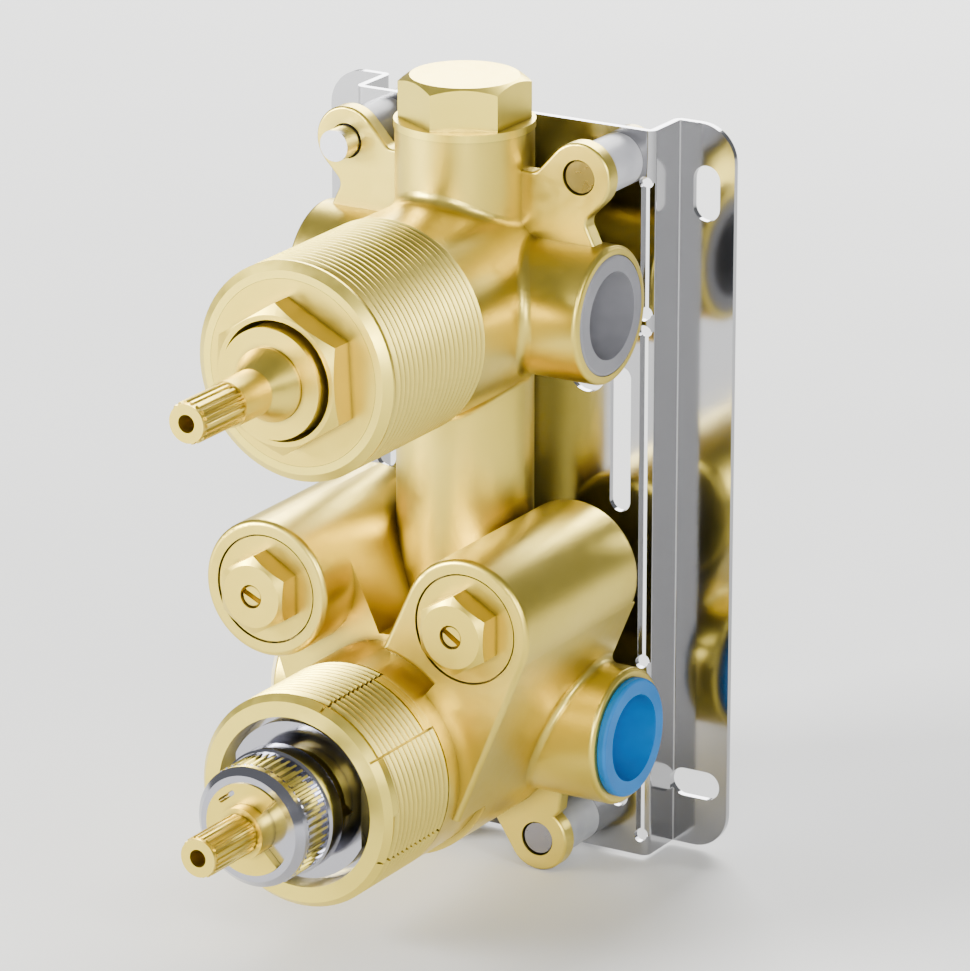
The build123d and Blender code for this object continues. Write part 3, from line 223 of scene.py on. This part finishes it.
# Turned brass pieces: gland nut, cartridge bodies, spindles, discs and stop inserts.
# All are free-cutting brass from the lathe, lightly blasted like the casting, so their turning
# marks don't show.
turned_brass = brass(
    "turned_brass", "E9D05A", "DFC54C", 0.34, grit_size=0.25, grit_depth=0.012, reach=1.0
)
dress(
    turned_brass, "flow_gland_nut", "flow_cartridge_body", "flow_spindle",
    "temperature_cartridge_body", "temperature_stop_disc", "temperature_spindle_clip",
    "temperature_spindle", "temperature_drive_nut", "stop_insert_left", "stop_insert_right",
    "stop_spindle_left", "stop_spindle_right",
)

# Plated pieces. Nickel and chrome over brass, bright, turned on the lathe before plating, so
# the faces spread the light across their fine rings.
plating_patch = 3.0
chrome, tree, place = start_material("bright_chrome_plate")
from_axis = add(
    tree, "ShaderNodeVectorMath", {0: place, 1: (0, 0, lower_height)}, operation="SUBTRACT"
)
round_axis = add(
    tree, "ShaderNodeVectorMath", {0: from_axis.outputs["Vector"], 1: (0, 1, 0)},
    operation="CROSS_PRODUCT",
)
finish_material(tree, add(
    tree, "ShaderNodeBsdfPrincipled",
    {
        "Base Color": linear("A8A8B0"),
        "Metallic": 1.0,
        "Roughness": speckle(tree, place, plating_patch, 0.12, 0.17),
        "Anisotropic": 0.6,
        "Tangent": round_axis.outputs["Vector"],
    },
))
dress(chrome, "temperature_retaining_nut", "temperature_rear_ring", "temperature_knurled_ring",
      "temperature_front_ring")

# Transit plugs. Injection-moulded polyethylene, slightly translucent, grey in the upper ports,
# blue on the lower right and uncoloured on the lower left, with the soft sheen of the mould.
cloud_size = 7.0
mould_grain = 0.6
mould_depth = 0.02
light_depth = 1.5


def moulding(name, light, dark, roughness, see_through=0.0, shine=0.5):
    """A moulded plastic or rubber: near-even colour with a fine mould grain."""
    made, tree, place = start_material(name)
    cloud = speckle(tree, place, cloud_size, 0.0, 1.0)
    colour = add(
        tree, "ShaderNodeMix", {0: cloud, 6: linear(light), 7: linear(dark)}, data_type="RGBA"
    )
    dimples = add(
        tree, "ShaderNodeBump",
        {"Height": speckle(tree, place, mould_grain, 0.0, 1.0, 3.0), "Strength": 0.15,
         "Distance": mould_depth * mm},
    )
    finish_material(tree, add(
        tree, "ShaderNodeBsdfPrincipled",
        {
            "Base Color": colour.outputs[2],
            "Roughness": roughness,
            "Specular IOR Level": shine,
            "Subsurface Weight": see_through,
            "Subsurface Radius": (1.0, 1.0, 1.0),
            "Subsurface Scale": light_depth * mm,
            "Normal": dimples.outputs["Normal"],
        },
    ))
    return made


dress(moulding("grey_polyethylene", "828287", "78787D", 0.42, see_through=0.5),
      "port_plug_upper_left", "port_plug_upper_right")
dress(moulding("blue_polyethylene", "0D70B6", "0A64A6", 0.5, see_through=0.15, shine=0.25),
      "port_plug_lower_right")
dress(moulding("natural_polyethylene", "E9DDB0", "E2D4A2", 0.4, see_through=0.4),
      "port_plug_lower_left")

# Spacers. Cut from grey acetal tube and held between bracket and lugs by the screws. Acetal is
# waxy and lets a little light in. The lower right spacer is drawn a darker grey and the upper left
# one darker still, as painted shade.
dress(moulding("grey_acetal", "C2C2C6", "AAAAB0", 0.38, see_through=0.3),
      "spacer_upper_right", "spacer_lower_left")
# Painted shade: the same acetal, drawn darker.
dress(moulding("grey_acetal_mid_painted_shade", "A4A6A8", "8C8E92", 0.36, see_through=0.3),
      "spacer_lower_right")
# Painted shade: the same acetal, drawn darker still.
dress(moulding("grey_acetal_deep_painted_shade", "85858D", "6C6C75", 0.34), "spacer_upper_left")

# Screws from bracket to casting. Steel with clear zinc plate, driven from behind, with their cut
# ends in the lugs. The plate gives them a soft metal sheen. The recessed ends on the right are
# drawn darker: the lower right one grey as painted shade, and the upper right one dark brass as
# painted shade with a painted reflection of the brass lug around it.
plate_patch = 4.0


def zinc(name, colour):
    """Zinc plate in the given colour, a little uneven over the cut ends."""
    plate, tree, place = start_material(name)
    finish_material(tree, add(
        tree, "ShaderNodeBsdfPrincipled",
        {
            "Base Color": linear(colour),
            "Metallic": 1.0,
            "Roughness": speckle(tree, place, plate_patch, 0.26, 0.32),
        },
    ))
    return plate


dress(zinc("clear_zinc_plate", "D8D8DE"), "mounting_screw_upper_left",
      "mounting_screw_lower_left")
# Painted shade: a recessed screw end drawn darker grey.
dress(zinc("zinc_plate_painted_shade", "8C8A92"), "mounting_screw_lower_right")
# Painted shade and painted reflection: a recessed screw end drawn dark brass.
dress(zinc("zinc_plate_painted_shade_and_brass_reflection", "A3935A"), "mounting_screw_upper_right")

# Inner pieces. Ground ceramic discs, rubber seals, a drawn copper wax element and acetal slides,
# all inside the brass, where they show only in a cut.
dress(moulding("ground_alumina", "E8E4DA", "E0DCD2", 0.2), "flow_moving_disc", "flow_fixed_disc")
dress(moulding("black_nitrile", "1A1A1A", "141414", 0.55),
      "top_cap_seal", "flow_seat_seal", "temperature_cartridge_seals")
dress(moulding("dark_acetal", "2C2C2E", "262628", 0.35), "shuttle", "stop_closer_left",
      "stop_closer_right", "stop_gland_ring_left", "stop_gland_ring_right")
dress(brass("drawn_copper", "C77B55", "B66A45", 0.3, grit_size=0.3, grit_depth=0.01),
      "wax_element")

# Studio floor. A plain pale board with matt paint, just under the lowest edge of the bracket.
# It gives the valve a soft shadow to stand in.
floor_half = 4.0
floor_gap = 0.2
roller_patch = 60.0
lowest, highest = cad_box
floor_level = lowest[2] - floor_gap * mm
floor_mesh = bpy.data.meshes.new("studio_floor")
floor_mesh.from_pydata(
    [(x, y, floor_level) for x, y in (
        (-floor_half, -floor_half), (floor_half, -floor_half),
        (floor_half, floor_half), (-floor_half, floor_half),
    )],
    [], [(0, 1, 2, 3)],
)
floor = bpy.data.objects.new("studio_floor", floor_mesh)
bpy.context.scene.collection.objects.link(floor)
floor_paint, tree, place = start_material("pale_floor_paint")
finish_material(tree, add(
    tree, "ShaderNodeBsdfPrincipled",
    {"Base Color": linear("E4E4E2"), "Roughness": speckle(tree, place, roller_patch, 0.75, 0.85)},
))
dress(floor_paint, floor)

# Studio light. Soft boxes in a room of even pale grey: a strong one in front on the left, a weak
# one in front on the right, a large one behind for the upper sides, and a small one on the right.
world = bpy.data.worlds.new("studio_air")
world.use_nodes = True
world.node_tree.nodes["Background"].inputs["Color"].default_value = linear("D9DBDE")
world.node_tree.nodes["Background"].inputs["Strength"].default_value = 0.42
bpy.context.scene.world = world

middle = Vector((0.0137, -0.040, 0.0662))


def softbox(name, direction, distance, size, power):
    """A square area light that faces the middle of the valve."""
    light = bpy.data.lights.new(name, "AREA")
    light.shape = "SQUARE"
    light.size = size
    light.energy = power
    lamp = bpy.data.objects.new(name, light)
    lamp.location = middle + Vector(direction).normalized() * distance
    lamp.rotation_euler = (middle - lamp.location).to_track_quat("-Z", "Y").to_euler()
    bpy.context.scene.collection.objects.link(lamp)


softbox("key_light", (-0.9, -0.9, 0.35), distance=1.2, size=0.4, power=38)
softbox("front_light", (0.6, -1.0, 0.3), distance=1.2, size=0.35, power=11)
softbox("back_light", (-0.3, 0.85, 0.55), distance=1.3, size=0.9, power=38)
softbox("side_light", (1.3, -0.5, 0.6), distance=1.3, size=0.25, power=8)

# Camera. A long lens at the place from which the photograph was taken, right of the valve's
# front and a little above it.
focal_pixels = 6190.9
frame_width = 970
near_limit = 0.01
camera_data = bpy.data.cameras.new("photo_camera")
camera = bpy.data.objects.new("photo_camera", camera_data)
bpy.context.scene.collection.objects.link(camera)
camera.location = (0.557486, -0.948769, 0.421295)
camera_aim = Vector((-0.486825, 0.813585, -0.317930))
camera.rotation_euler = camera_aim.to_track_quat("-Z", "Y").to_euler()
camera_data.sensor_fit = "HORIZONTAL"
camera_data.sensor_width = 36
camera_data.lens = focal_pixels * camera_data.sensor_width / frame_width
camera_data.clip_start = near_limit
bpy.context.scene.camera = camera
